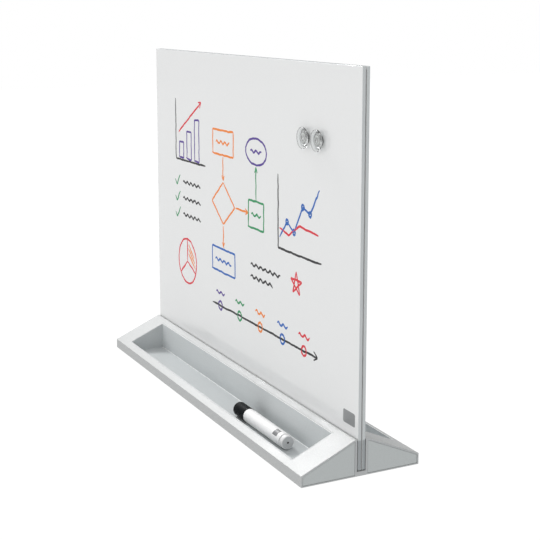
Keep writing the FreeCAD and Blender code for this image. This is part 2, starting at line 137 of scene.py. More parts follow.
class Graph:
    """A node tree and the calls that fill it."""

    def __init__(self, tree: bpy.types.NodeTree) -> None:
        """Keeps the tree that the calls fill."""
        self.tree = tree

    def add(self, kind: str, inputs: dict | None = None, **settings: object) -> bpy.types.Node:
        """Adds a node.

        Args:
            kind: The node's type name.
            inputs: A value or another node's output for each named or numbered input.
            **settings: The node's own options.

        Returns:
            The new node.
        """
        node = self.tree.nodes.new(kind)
        for name, setting in settings.items():
            setattr(node, name, setting)
        for socket, source in (inputs or {}).items():
            if isinstance(source, Socket):
                self.tree.links.new(source, node.inputs[socket])
            else:
                node.inputs[socket].default_value = source
        return node

    def math(self, operation: str, *terms: object) -> Socket:
        """Adds a Math node and gives its output."""
        return self.add("ShaderNodeMath", dict(enumerate(terms)), operation=operation).outputs[0]

    def dot(self, vector: Socket, other: object) -> Socket:
        """Adds a dot product and gives its output."""
        node = self.add("ShaderNodeVectorMath", {0: vector, 1: other}, operation="DOT_PRODUCT")
        return node.outputs["Value"]

    def rise(self, source: Socket, start: float, end: float) -> Socket:
        """Rises smoothly from 0 to 1 while a value goes from one limit to another.

        Args:
            source: The value.
            start: The value that gives 0.
            end: The value that gives 1, above or below start.

        Returns:
            The share.
        """
        inputs = {"Value": source, "From Min": start, "From Max": end}
        node = self.add("ShaderNodeMapRange", inputs, interpolation_type="SMOOTHSTEP")
        return node.outputs["Result"]

    def choose(self, factor: Socket, below: object, above: object) -> Socket:
        """Mixes two numbers."""
        return self.add("ShaderNodeMix", {0: factor, 2: below, 3: above}, data_type="FLOAT").outputs[0]

    def mix(self, factor: Socket, below: object, above: object) -> Socket:
        """Mixes two colours."""
        return self.add("ShaderNodeMix", {0: factor, 6: below, 7: above}, data_type="RGBA").outputs[2]

    def noise(
        self, scale: object, detail: float = 2.0, roughness: float = 0.5, place: Socket | None = None
    ) -> Socket:
        """Adds a noise pattern on Object coordinates.

        Args:
            scale: Number of grains in a metre, as a number or a socket.
            detail: How many finer layers the noise has.
            roughness: How strong the finer layers are.
            place: Coordinates other than the plain ones, if any.

        Returns:
            The noise value.
        """
        place = place or self.place()
        inputs = {"Vector": place, "Scale": scale, "Detail": detail, "Roughness": roughness}
        return self.add("ShaderNodeTexNoise", inputs).outputs[0]

    def place(self) -> Socket:
        """Gives the Object coordinates."""
        return self.add("ShaderNodeTexCoord").outputs["Object"]

    def axes(self, place: Socket | None = None) -> Sockets:
        """Splits the Object coordinates, or others, into X, Y and Z."""
        return self.add("ShaderNodeSeparateXYZ", {0: place or self.place()}).outputs

    def bump(self, depth: float, height: Socket) -> Socket:
        """Turns a height pattern into a normal."""
        return self.add("ShaderNodeBump", {"Distance": depth, "Height": height}).outputs[0]

    def group(self, tree: bpy.types.NodeTree, **inputs: object) -> Sockets:
        """Places a node group and gives its outputs."""
        return self.add("ShaderNodeGroup", inputs, node_tree=tree).outputs


def new_group(name: str, inputs: str, outputs: str) -> tuple[Graph, Sockets]:
    """Makes an empty shader node group.

    Args:
        name: The group's name.
        inputs: Names of its inputs; one named Colour is a colour, the others are numbers.
        outputs: Names of its outputs, in the same way.

    Returns:
        The graph of the new group and its inputs as sockets.
    """
    tree = bpy.data.node_groups.new(name, "ShaderNodeTree")
    for side, names in (("INPUT", inputs), ("OUTPUT", outputs)):
        for socket in names.split():
            kind = "NodeSocketColor" if socket == "Colour" else "NodeSocketFloat"
            tree.interface.new_socket(socket, in_out=side, socket_type=kind)
    graph = Graph(tree)
    return graph, graph.add("NodeGroupInput").outputs


@cache
def fine_grain() -> bpy.types.NodeTree:
    """The fine speckle of paint and moulded plastic, with broad patches of more and less gloss.

    Returns:
        A group that varies a colour and a roughness and gives a height.
    """
    inputs = "Colour Contrast Grains Roughness Spread"
    graph, given = new_group("fine_grain", inputs, "Colour Roughness Height")
    grain = graph.noise(given["Grains"], roughness=GRAIN_LAYERS)
    patch = graph.noise(GLOSS_PATCHES, detail=3.0)
    swing = graph.math("MULTIPLY", graph.math("SUBTRACT", grain, NOISE_MEAN), given["Contrast"])
    level = graph.math("MULTIPLY_ADD", swing, 2.0, 1.0)
    varied = graph.add("ShaderNodeHueSaturation", {"Color": given["Colour"], "Value": level})
    offset = graph.math("SUBTRACT", patch, NOISE_MEAN)
    gloss = graph.math("MULTIPLY_ADD", offset, given["Spread"], given["Roughness"])
    graph.add("NodeGroupOutput", {"Colour": varied.outputs[0], "Roughness": gloss, "Height": grain})
    return graph.tree


@cache
def rubbed_edges() -> bpy.types.NodeTree:
    """Painted highlights along edges and corners, within a radius.

    Returns:
        A group that gives a mask, 1 on the edges.
    """
    graph, given = new_group("rubbed_edges", "Radius", "Mask")
    rounded = graph.add("ShaderNodeBevel", {"Radius": given["Radius"]}, samples=8).outputs[0]
    flat = graph.add("ShaderNodeNewGeometry").outputs["Normal"]
    mask = graph.math("SUBTRACT", 1.0, graph.rise(graph.dot(rounded, flat), HIGHLIGHT_FULL, HIGHLIGHT_END))
    graph.add("NodeGroupOutput", {"Mask": mask})
    return graph.tree


@cache
def handling_haze() -> bpy.types.NodeTree:
    """The faint haze that hands and a dry cloth leave on glossy surfaces.

    Returns:
        A group that gives a haze from 0 to its Amount.
    """
    graph, given = new_group("handling_haze", "Amount Smears", "Haze")
    turn, stretch = (0.0, WIPE_SLANT, 0.0), (1.0, 1.0, WIPE_STRETCH)
    wiped = graph.add("ShaderNodeMapping", {0: graph.place(), "Rotation": turn, "Scale": stretch})
    smear = graph.noise(given["Smears"], detail=4.0, place=wiped.outputs[0])
    haze = graph.math("MULTIPLY", graph.rise(smear, HAZE_START, HAZE_FULL), given["Amount"])
    graph.add("NodeGroupOutput", {"Haze": haze})
    return graph.tree


@dataclass(frozen=True)
class Finish:
    """A painted or moulded finish with fine grain, patches of gloss and, if asked, painted edge highlights
    and haze.
    """

    name: str
    colour: Colour
    roughness: float = 0.5
    metallic: float = 0.0
    coat: float = 0.0
    coat_roughness: float = 0.05
    specular: float = 0.5
    contrast: float = 0.05
    grains: float = 1500.0
    spread: float = 0.12
    depth: float = 6e-6
    # A lighter colour painted along edges and corners as a highlight, if any
    edge_highlight_colour: Colour | None = None
    edge_radius: float = 0.6 * MM
    haze: float = 0.0
    smears: float = 9.0

    def make(self) -> bpy.types.Material:
        """Builds the material.

        Returns:
            The new material.
        """
        made = bpy.data.materials.new(self.name)
        made.use_nodes = True
        graph = Graph(made.node_tree)
        shader = made.node_tree.nodes["Principled BSDF"]
        for socket, value in self.constants().items():
            shader.inputs[socket].default_value = value
        for socket, source in self.pattern(graph).items():
            graph.tree.links.new(source, shader.inputs[socket])
        return made

    def constants(self) -> dict[str, float]:
        """Gives the shader values that are the same all over the surface.

        Returns:
            The shader's sockets and their values.
        """
        return {
            "Metallic": self.metallic,
            "Coat Weight": self.coat,
            "Coat Roughness": self.coat_roughness,
            "Specular IOR Level": self.specular,
        }

    def pattern(self, graph: Graph) -> dict[str, Socket]:
        """Lays the grain, the painted edge highlights and the haze.

        Args:
            graph: The material's graph.

        Returns:
            The shader's sockets and what feeds them.
        """
        grain = graph.group(
            fine_grain(), Colour=self.colour, Contrast=self.contrast, Grains=self.grains,
            Roughness=self.roughness, Spread=self.spread,
        )
        colour, gloss = grain["Colour"], grain["Roughness"]
        # Painted highlight: a lighter colour along the edges
        if self.edge_highlight_colour:
            mask = graph.group(rubbed_edges(), Radius=self.edge_radius)["Mask"]
            colour = graph.mix(mask, colour, self.edge_highlight_colour)
        if self.haze:
            haze = graph.group(handling_haze(), Amount=self.haze, Smears=self.smears)["Haze"]
            gloss = graph.math("ADD", gloss, haze)
        return {"Base Color": colour, "Roughness": gloss, "Normal": graph.bump(self.depth, grain["Height"])}


@dataclass(frozen=True)
class ClearAcrylic(Finish):
    """Clear moulded acrylic with fine grain and a faint haze."""

    refraction: float = 1.49

    def constants(self) -> dict[str, float]:
        """Gives the plain values of a clear solid."""
        return {"Metallic": 0.0, "Transmission Weight": 1.0, "IOR": self.refraction}


@dataclass(frozen=True)
class TurnedMetal(Finish):
    """Metal turned on a lathe, with fine rings round the Y axis through a centre."""

    centre: Triple = (0.0, 0.0, 0.0)
    rings: float = 9000.0

    def pattern(self, graph: Graph) -> dict[str, Socket]:
        """Adds turning rings to the grain.

        Args:
            graph: The material's graph.

        Returns:
            The shader's sockets and what feeds them.
        """
        sockets = super().pattern(graph)
        inputs = {0: graph.place(), 1: self.centre}
        moved = graph.add("ShaderNodeVectorMath", inputs, operation="SUBTRACT").outputs[0]
        squares = [graph.math("POWER", graph.axes(moved)[axis], 2.0) for axis in ("X", "Z")]
        reach = graph.math("SQRT", graph.math("ADD", *squares))
        wave = graph.math("SINE", graph.math("MULTIPLY", reach, self.rings))
        return sockets | {"Normal": graph.bump(self.depth, wave)}


@dataclass(frozen=True, kw_only=True)
class PrintedPlastic(Finish):
    """Plastic with one plain printed patch on a barrel that lies along X."""

    patch_colour: Colour
    # The patch's limits round the barrel, as angles up from the front
    low: float
    high: float
    # The barrel's axis and the patch's limits along it, set where the barrel is built
    axis_y: float = 0.0
    axis_z: float = 0.0
    start: float = 0.0
    end: float = 0.0
    end_border: float = 0.15 * MM
    side_border: float = 0.02

    def pattern(self, graph: Graph) -> dict[str, Socket]:
        """Prints the patch over the plastic.

        Args:
            graph: The material's graph.

        Returns:
            The shader's sockets and what feeds them.
        """
        sockets = super().pattern(graph)
        apart = graph.axes()
        across = graph.math("SUBTRACT", self.axis_y, apart["Y"])
        up = graph.math("SUBTRACT", apart["Z"], self.axis_z)
        angle = graph.math("ARCTAN2", up, across)
        along = self.within(graph, apart["X"], self.start, self.end, self.end_border)
        around = self.within(graph, angle, self.low, self.high, self.side_border)
        mask = graph.math("MULTIPLY", along, around)
        return sockets | {"Base Color": graph.mix(mask, sockets["Base Color"], self.patch_colour)}

    @staticmethod
    def within(graph: Graph, value: Socket, low: float, high: float, soft: float) -> Socket:
        """Gives 1 where a value lies between two limits, with a soft border."""
        after, before = graph.rise(value, low, low + soft), graph.rise(value, high, high - soft)
        return graph.math("MULTIPLY", after, before)


@dataclass(frozen=True, kw_only=True)
class ShadedFootEdge(Finish):
    """A ground glass edge with painted shade over its foot, where it stands between the rubber strips."""

    foot_shade_colour: Colour
    foot_shade_top: float
    foot_shade_fade: float

    def pattern(self, graph: Graph) -> dict[str, Socket]:
        """Lays painted shade over the foot of the edge.

        Args:
            graph: The material's graph.

        Returns:
            The shader's sockets and what feeds them.
        """
        sockets = super().pattern(graph)
        unshaded = graph.rise(graph.axes()["Z"], self.foot_shade_top - self.foot_shade_fade, self.foot_shade_top)
        return sockets | {"Base Color": graph.mix(unshaded, self.foot_shade_colour, sockets["Base Color"])}


@dataclass(frozen=True)
class DryInk(Finish):
    """Dry wipe ink, thinner where the pen slipped over the glass."""

    contrast: float = 0.3
    grains: float = 700.0
    glass_colour: Colour = shade(236, 238, 238)
    streaks: float = 420.0
    slip_start: float = 0.52
    slip_full: float = 0.78
    slip: float = 0.2

    def pattern(self, graph: Graph) -> dict[str, Socket]:
        """Lets the glass show a little through streaks in the ink.

        Args:
            graph: The material's graph.

        Returns:
            The shader's sockets and what feeds them.
        """
        sockets = super().pattern(graph)
        thin = graph.rise(graph.noise(self.streaks, detail=3.0), self.slip_start, self.slip_full)
        glass = graph.math("MULTIPLY", thin, self.slip)
        return sockets | {"Base Color": graph.mix(glass, sockets["Base Color"], self.glass_colour)}


@cache
def material(finish: Finish) -> bpy.types.Material:
    """Gives the material of a finish, which is built once."""
    return finish.make()


# The rail's edge colour is a painted highlight along its edges
RAIL_PAINT = Finish("rail_silver_paint", shade(191, 193, 193), roughness=0.38, contrast=0.18, grains=700.0,
                    spread=0.2, depth=12e-6, edge_highlight_colour=shade(232, 234, 234), edge_radius=0.45 * MM)
# Painted shade: a darker copy of the rail paint for the lip's upright faces
RAIL_LIP_SHADED = replace(RAIL_PAINT, name="rail_silver_paint_lip", colour=shade(180, 182, 182))
RAIL_END = Finish("rail_cut_end", shade(190, 193, 194), roughness=0.45, contrast=0.16, grains=1300.0)
# The tray's edge colour is a painted highlight along its edges and floor line
TRAY_PLASTIC = Finish("tray_grey_plastic", shade(205, 209, 210), specular=0.2, contrast=0.10, grains=900.0,
                      edge_highlight_colour=shade(246, 248, 248), edge_radius=0.7 * MM)
# Painted highlight: a near white line along the rim's rear edge
TRAY_RIM_HIGHLIGHT = Finish("tray_pale_rim", shade(253, 254, 254), roughness=0.35, grains=900.0)
# Painted shade: a darker copy of the tray plastic for the rim's upward faces, to match the slope
TRAY_RIM_TOP_SHADED = Finish("tray_lip_paint", shade(194, 196, 196), contrast=0.10, grains=900.0)
# Painted highlight: a pale line where the tray's floor meets its walls
TRAY_CORNER_HIGHLIGHT = Finish("tray_pale_corner", shade(238, 240, 240), roughness=0.28, grains=900.0)
# The end caps' edge colour is a painted highlight, the light line inside their outline
CAP_PLASTIC = Finish("end_cap_grey_plastic", shade(196, 201, 201), roughness=0.52, contrast=0.10,
                     grains=1100.0, edge_highlight_colour=shade(232, 236, 237), edge_radius=0.9 * MM)
GASKET_RUBBER = Finish("gasket_dark_rubber", shade(112, 115, 118), roughness=0.7, contrast=0.2,
                       grains=2200.0)
BLOCK_RUBBER = Finish("setting_block_rubber", shade(40, 41, 43), roughness=0.8, contrast=0.25,
                      grains=1600.0)
FOOT_RUBBER = Finish("foot_rubber", shade(62, 63, 66), roughness=0.75, contrast=0.3, grains=2400.0,
                     depth=3e-5)
GLASS_FACE = Finish("glass_white_back_paint", shade(234, 235, 235), roughness=0.30, coat=1.0,
                    contrast=0.012, grains=300.0, spread=0.05, depth=1e-6, haze=0.10)
# Painted light: a lighter copy of the white back paint for the rear pane, which gets less light
GLASS_BACK_LIGHTENED = replace(GLASS_FACE, name="glass_white_back_paint_rear", colour=shade(246, 247, 247))
# Painted shade on the foot of the glass edge, inside the channel
GLASS_EDGE = ShadedFootEdge("glass_ground_edge", shade(206, 211, 212), roughness=0.4, coat=0.3, contrast=0.12,
                        grains=1800.0, foot_shade_colour=shade(160, 166, 168), foot_shade_top=44.0 * MM,
                        foot_shade_fade=2.5 * MM)
CORE_TAPE = Finish("core_grey_tape", shade(30, 31, 33), roughness=0.8, contrast=0.3, grains=2600.0,
                   depth=2e-5)
# Painted shade: the steel sheets are dark so the gap between the panes looks shaded
SHEET_STEEL_SHADED = Finish("dark_coated_sheet", shade(62, 64, 67), metallic=0.3, contrast=0.2, grains=240.0)
KNOB_ACRYLIC = ClearAcrylic("knob_clear_acrylic", shade(250, 252, 252), roughness=0.03, contrast=0.01,
                            spread=0.04, depth=1e-6, haze=0.03)
DISC_NICKEL = TurnedMetal("turned_nickel", shade(250, 250, 248), roughness=0.35, metallic=0.6,
                          contrast=0.08, depth=4e-6)
# Painted dark reflection: the disc's side is near black so the clear spool shows dark crescents
DISC_SIDE_DARKENED = Finish("disc_dark_side", shade(12, 12, 13), contrast=0.2, grains=2200.0, specular=0.1)
MARKER_BLACK = Finish("marker_black_plastic", shade(22, 25, 27), roughness=0.38, contrast=0.2,
                      grains=1400.0, spread=0.2, haze=0.08, specular=0.04)
# Painted shade: a greyer copy of the white plastic for the plug's flat end face
MARKER_FACE_SHADED = Finish("plug_pale_grey", shade(206, 207, 208), roughness=0.45, contrast=0.06,
                     grains=1400.0, specular=0.2)
# Painted shade: near black in the plug's groove and dimple
MARKER_RECESS_SHADE = Finish("marker_grey_insert", shade(44, 45, 46), contrast=0.12)
MARKER_WHITE = Finish("marker_white_plastic", shade(236, 236, 236), roughness=0.4, contrast=0.03,
                      grains=1200.0)
MARKER_PRINT = PrintedPlastic("barrel_white_plastic", shade(250, 250, 250), roughness=0.38, contrast=0.02,
                              grains=1200.0, haze=0.06, patch_colour=shade(128, 129, 131),
                              low=math.radians(26), high=math.radians(90))
NIB_FELT = Finish("nib_felt", shade(28, 28, 32), roughness=0.95, contrast=0.6, grains=4200.0, depth=1.2e-4)
WADDING = Finish("reservoir_wadding", shade(222, 218, 208), roughness=0.9, contrast=0.4, grains=3000.0,
                 depth=1e-4)
# The badge's edge colour is a painted highlight round its border
BADGE_GREY = Finish("badge_grey_print", shade(140, 142, 143), roughness=0.35, contrast=0.10, grains=2000.0,
                    spread=0.1, depth=2e-6, edge_highlight_colour=shade(162, 164, 165), edge_radius=0.3 * MM)
FLOOR_PAPER = Finish("floor_white_paper", shade(63, 63, 63), roughness=0.9, specular=0.0, contrast=0.03,
                     grains=60.0)


class Ink(Enum):
    """The marker colours of the sketch."""

    PURPLE = DryInk("ink_purple", shade(78, 44, 146))
    GREEN = DryInk("ink_green", shade(20, 146, 88))
    RED = DryInk("ink_red", shade(222, 36, 54))
    ORANGE = DryInk("ink_orange", shade(242, 132, 34), contrast=0.25)
    BLUE = DryInk("ink_blue", shade(16, 98, 184))
    BLACK = DryInk("ink_black", shade(26, 26, 30), contrast=0.4)


class Element(Enum):
    """What edit mode can select, with the name of its list in a mesh."""

    VERT = "verts"
    EDGE = "edges"
    FACE = "faces"

    def facts(self, item: Item) -> tuple[Vector, ...]:
        """Gives what a test of one item looks at.

        Args:
            item: A corner, an edge or a face.

        Returns:
            A corner's place, the places of an edge's two ends, or a face's middle and its normal.
        """
        if self is Element.VERT:
            return (item.co,)
        if self is Element.EDGE:
            return item.verts[0].co, item.verts[1].co
        return item.calc_center_median(), item.normal


class Piece:
    """One piece of the looks, shaped with edit mode's tools and finished with modifiers."""

    def __init__(self, name: str) -> None:
        """Takes the object that the last operator left active, and names it."""
        self.shape = bpy.context.active_object
        self.shape.name = self.shape.data.name = name

    @classmethod
    def from_node(cls, name: str, node: str) -> "Piece":
        """Copies a CAD node and merges its loose triangles.

        Args:
            name: The new piece's name.
            node: The CAD node that it stands for.

        Returns:
            The copy, with one face for each flat side.
        """
        select_only(frame["nodes"][node])
        bpy.ops.object.duplicate()
        bpy.ops.object.parent_clear(type="CLEAR_KEEP_TRANSFORM")
        piece = cls(name)
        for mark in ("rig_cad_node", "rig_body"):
            del piece.shape[mark]
        bpy.ops.mesh.customdata_custom_splitnormals_clear()
        with piece.editing():
            bpy.ops.mesh.select_all(action="SELECT")
            bpy.ops.mesh.remove_doubles(threshold=SAME_CORNER)
            bpy.ops.mesh.dissolve_limited(angle_limit=FLAT_ANGLE)
        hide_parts(node)
        return piece

    @classmethod
    def turned(cls, name: str, outline: Outline, foot: Vector, axis: Vector, sides: int = 96) -> "Piece":
        """Turns an outline round an axis, ring by ring.

        Args:
            name: The new piece's name.
            outline: Radius and height of each ring, in order. A radius of 0 at both ends closes them with
                poles; where both ends are open, the last ring is bridged to the first.
            foot: The point on the axis where the height is 0.
            axis: The unit vector of the axis.
            sides: Number of sides round the axis.

        Returns:
            The turned piece.
        """
        rings = [point for point in outline if point[0] > 0]
        radius, height = rings[0]
        centre = foot + axis * height
        drop_selection()
        bpy.ops.mesh.primitive_circle_add(
            vertices=sides, radius=radius, fill_type="NOTHING", location=centre,
            rotation=Vector((0, 0, 1)).rotation_difference(axis).to_euler(),
        )
        settle()
        piece = cls(name)
        with piece.editing():
            bpy.ops.mesh.select_all(action="SELECT")
            for (before, low), (after, high) in pairwise(rings):
                piece.next_ring(after / before, axis * (high - low), foot + axis * high)
            if outline[0][0] == 0:
                piece.close_ring(axis * (outline[-1][1] - rings[-1][1]))
                piece.pick(Element.VERT, lambda place: abs((place - centre).dot(axis)) < SAME_CORNER
                           and abs((place - centre).length - radius) < SAME_CORNER)
                piece.close_ring(axis * (outline[0][1] - height))
            else:
                bpy.ops.mesh.select_all(action="DESELECT")
                bpy.ops.mesh.select_non_manifold()
                bpy.ops.mesh.bridge_edge_loops()
            bpy.ops.mesh.select_all(action="SELECT")
            bpy.ops.mesh.normals_make_consistent(inside=False)
        return piece

    @staticmethod
    def next_ring(scale: float, step: Vector, centre: Vector) -> None:
        """Extrudes the selected ring by a step and sizes the new one about its centre."""
        bpy.ops.mesh.extrude_region_move(TRANSFORM_OT_translate={"value": step})
        bpy.ops.transform.resize(value=(scale, scale, scale), center_override=centre)

    @staticmethod
    def close_ring(step: Vector) -> None:
        """Extrudes the selected ring by a step and merges the new one to a pole."""
        bpy.ops.mesh.extrude_region_move(TRANSFORM_OT_translate={"value": step})
        bpy.ops.mesh.merge(type="CENTER")

    @contextmanager
    def editing(self) -> Iterator[None]:
        """Opens the piece in edit mode, and closes it after the block.

        Yields:
            Nothing: the block works on the open piece.
        """
        select_only(self.shape)
        bpy.ops.object.mode_set(mode="EDIT")
        bpy.ops.mesh.select_mode(type="VERT")
        yield
        bpy.ops.object.mode_set(mode="OBJECT")

    def pick(self, kind: Element, wanted: Callable[..., bool]) -> None:
        """Selects the corners, edges or faces that pass a test, in edit mode.

        Args:
            kind: Which of the three is selected.
            wanted: The test, which takes what the kind's facts give.
        """
        bpy.ops.mesh.select_mode(type=kind.name)
        bpy.ops.mesh.select_all(action="DESELECT")
        mesh = bmesh.from_edit_mesh(self.shape.data)
        for item in getattr(mesh, kind.value):
            item.select_set(wanted(*kind.facts(item)))
        mesh.select_flush_mode()
        bmesh.update_edit_mesh(self.shape.data)

    def paint(self, finish: Finish, wanted: Callable[[Vector, Vector], bool]) -> None:
        """Gives another finish to some faces of a dressed piece.

        Args:
            finish: The other finish.
            wanted: The test for a face's middle and its normal.
        """
        self.shape.data.materials.append(material(finish))
        with self.editing():
            self.pick(Element.FACE, wanted)
            self.shape.active_material_index = len(self.shape.data.materials) - 1
            bpy.ops.object.material_slot_assign()

    def bevel(self, width: float, segments: int = 2) -> None:
        """Rounds the sharp edges.

        Args:
            width: Width of the rounding.
            segments: Number of faces across it.
        """
        select_only(self.shape)
        bpy.ops.object.modifier_add(type="BEVEL")
        rounding = self.shape.modifiers[-1]
        rounding.width = width
        rounding.segments = segments
        rounding.limit_method = "ANGLE"
        rounding.angle_limit = SHARP_ANGLE
        rounding.harden_normals = True
        self.smooth()
        bpy.ops.object.modifier_apply(modifier=rounding.name)

    def smooth(self) -> None:
        """Smooths all but the sharp edges."""
        select_only(self.shape)
        bpy.ops.object.shade_smooth_by_angle(angle=SHARP_ANGLE)

    def copy(self, name: str, shift: Vector) -> "Piece":
        """Copies the piece with its own mesh.

        Args:
            name: The copy's name.
            shift: How far it lies from this one.

        Returns:
            The copy.
        """
        select_only(self.shape)
        bpy.ops.object.duplicate()
        bpy.ops.transform.translate(value=shift)
        settle()
        return Piece(name)

    def dress(self, body: str, slot: str, finish: Finish) -> None:
        """Gives the piece its finish and ties it to its body.

        Args:
            body: The body that it rides on.
            slot: The record's material slot; not used.
            finish: The finish all over it.
        """
        self.shape.data.materials.clear()
        self.shape.data.materials.append(material(finish))
        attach(self.shape, body)
        LOG.info("%s: %d faces on %s", self.shape.name, len(self.shape.data.polygons), body)


def drop_selection() -> None:
    """Deselects every object."""
    bpy.ops.object.select_all(action="DESELECT")


def select_only(shape: bpy.types.Object) -> None:
    """Selects one object and makes it active.

    Args:
        shape: The object.
    """
    drop_selection()
    shape.select_set(True)
    bpy.context.view_layer.objects.active = shape


def settle() -> None:
    """Moves the selected object's place, turn and size into its mesh."""
    bpy.ops.object.transform_apply(location=True, rotation=True, scale=True)


def dress_node(node: str, finish: Finish) -> None:
    """Gives a CAD node that stays as it is its finish."""
    frame["nodes"][node].material_slots[0].material = material(finish)
    LOG.info("%s: CAD shape kept", node)


def span(node: str) -> Pair:
    """Gives where a CAD node starts and ends along X."""
    low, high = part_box(node)
    return low.x, high.x


def arc(
    centre: Pair, radius: float, start: float, end: float, steps: int, rise: float | None = None
) -> Outline:
    """Gives the points of an arc.

    Args:
        centre: Its centre: in an outline, a radius and a height.
        radius: Its radius, or half its width where it is oval.
        start: Angle of its first point in degrees, 0 outwards and 90 along the axis.
        end: Angle of its last point in degrees.
        steps: Number of chords.
        rise: Half its height where it is oval.

    Returns:
        The points, both ends among them.
    """
    rise = rise or radius
    angles = (math.radians(start + (end - start) * step / steps) for step in range(steps + 1))
    return [(centre[0] + radius * math.cos(angle), centre[1] + rise * math.sin(angle)) for angle in angles]


@dataclass
class Rail:
    """The painted rail with its trays, end caps, gaskets, setting blocks and feet."""

    paint_radius: float = 0.3 * MM
    lip_place: float = 70.0 * MM
    tray_radius: float = 0.25 * MM
    low_corner: float = 4.8 * MM
    rim_width: float = 2.0 * MM
    # How far the unit normals of the tray's faces reach sideways and up, at the least
    corner_slant: float = 0.15
    corner_level: float = 0.1
    rim_slant: float = 0.3
    lip_level: float = 0.85
    cap_radius: float = 0.4 * MM

    def build(self) -> None:
        """Builds every piece of the base."""
        self.build_extrusion()
        self.build_trays()
        self.build_end_caps()
        for side in ("front", "rear"):
            dress_node(f"{side}_channel_gasket", GASKET_RUBBER)
            for place in ("left", "middle", "right"):
                dress_node(f"{side}_{place}_foot", FOOT_RUBBER)
        for side in ("left", "right"):
            dress_node(f"{side}_setting_block", BLOCK_RUBBER)

    def build_extrusion(self) -> None:
        """Rounds the painted edges of the extruded rail, and gives its upright lip faces painted shade."""
        rail = Piece.from_node("painted_rail", "base_rail")
        rail.bevel(self.paint_radius)
        rail.dress("base", "rail_finish", RAIL_PAINT)
        rail.paint(RAIL_END, lambda middle, normal: abs(normal.x) > STRAIGHT)
        # Painted shade on the lip's upright faces
        rail.paint(RAIL_LIP_SHADED, lambda middle, normal: abs(normal.y) > STRAIGHT
                   and abs(middle.y) > self.lip_place)

    def build_trays(self) -> None:
        """Rounds the rims and the floors of the two trays, and paints shade and highlights on them."""
        for side in ("front", "rear"):
            tray = Piece.from_node(f"{side}_tray_liner", f"{side}_marker_tray")
            tray.bevel(self.tray_radius)
            tray.dress("base", "tray_plastic", TRAY_PLASTIC)
            rear_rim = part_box(f"{side}_marker_tray")[1].y - self.rim_width
            # Painted shade on the rim's upward faces
            tray.paint(TRAY_RIM_TOP_SHADED, lambda middle, normal: self.on_rim(middle, normal)
                       and normal.z > self.lip_level)
            # Painted highlight along the rear edge of the rim
            tray.paint(TRAY_RIM_HIGHLIGHT, lambda middle, normal: self.on_rim(middle, normal) and middle.y > rear_rim)
            # Painted highlight on the slanting faces where the floor meets the walls
            tray.paint(TRAY_CORNER_HIGHLIGHT, lambda middle, normal: middle.z < self.low_corner
                       and abs(normal.y) > self.corner_slant and self.corner_level < normal.z < STRAIGHT)

    def on_rim(self, middle: Vector, normal: Vector) -> bool:
        """Tells whether a tray's face slants upwards above the floor."""
        return min(abs(normal.y), normal.z) > self.rim_slant and middle.z > self.low_corner

    def build_end_caps(self) -> None:
        """Rounds the edges of the four end caps."""
        for side in ("front", "rear"):
            for end in ("left", "right"):
                cap = Piece.from_node(f"{side}_{end}_cap", f"{side}_{end}_end_cap")
                cap.bevel(self.cap_radius)
                cap.dress("base", "end_cap_plastic", CAP_PLASTIC)


@dataclass
class Board:
    """The two panes of glass with the steel sheets and the core between them."""

    badge_width: float = 26.0 * MM
    badge_height: float = 15.6 * MM
    badge_corner: float = 2.4 * MM
    badge_thickness: float = 0.08 * MM
    badge_x: float = 279.5 * MM
    badge_z: float = 63.0 * MM

    def build(self) -> None:
        """Builds every piece of the board but the sketch."""
        # The rear pane takes the lighter copy of the paint: painted light
        for side, face in (("front", GLASS_FACE), ("rear", GLASS_BACK_LIGHTENED)):
            pane = Piece.from_node(f"{side}_pane", f"{side}_glass")
            pane.smooth()
            pane.dress("board", "board_glass", face)
            pane.paint(GLASS_EDGE, lambda middle, normal: abs(normal.y) < STRAIGHT)
            # Dark steel, painted shade in the gap between the panes
            dress_node(f"{side}_steel_sheet", SHEET_STEEL_SHADED)
        dress_node("board_core", CORE_TAPE)
        self.build_badge()

    def build_badge(self) -> None:
        """Builds the plain mark in the lower corner of the front pane."""
        thick = self.badge_thickness
        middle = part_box("front_glass")[0].y - thick / 2
        drop_selection()
        bpy.ops.mesh.primitive_cube_add(
            size=1, location=(self.badge_x, middle, self.badge_z),
            scale=(self.badge_width, thick, self.badge_height),
        )
        settle()
        badge = Piece("corner_mark")
        with badge.editing():
            badge.pick(Element.EDGE, lambda start, end: abs(start.y - end.y) > thick / 2)
            bpy.ops.mesh.bevel(offset=self.badge_corner, segments=6)
            badge.pick(Element.VERT, lambda corner: corner.y < middle)
            bpy.ops.mesh.bevel(offset=thick / 3, segments=2)
        badge.smooth()
        badge.dress("board", "board_glass", BADGE_GREY)


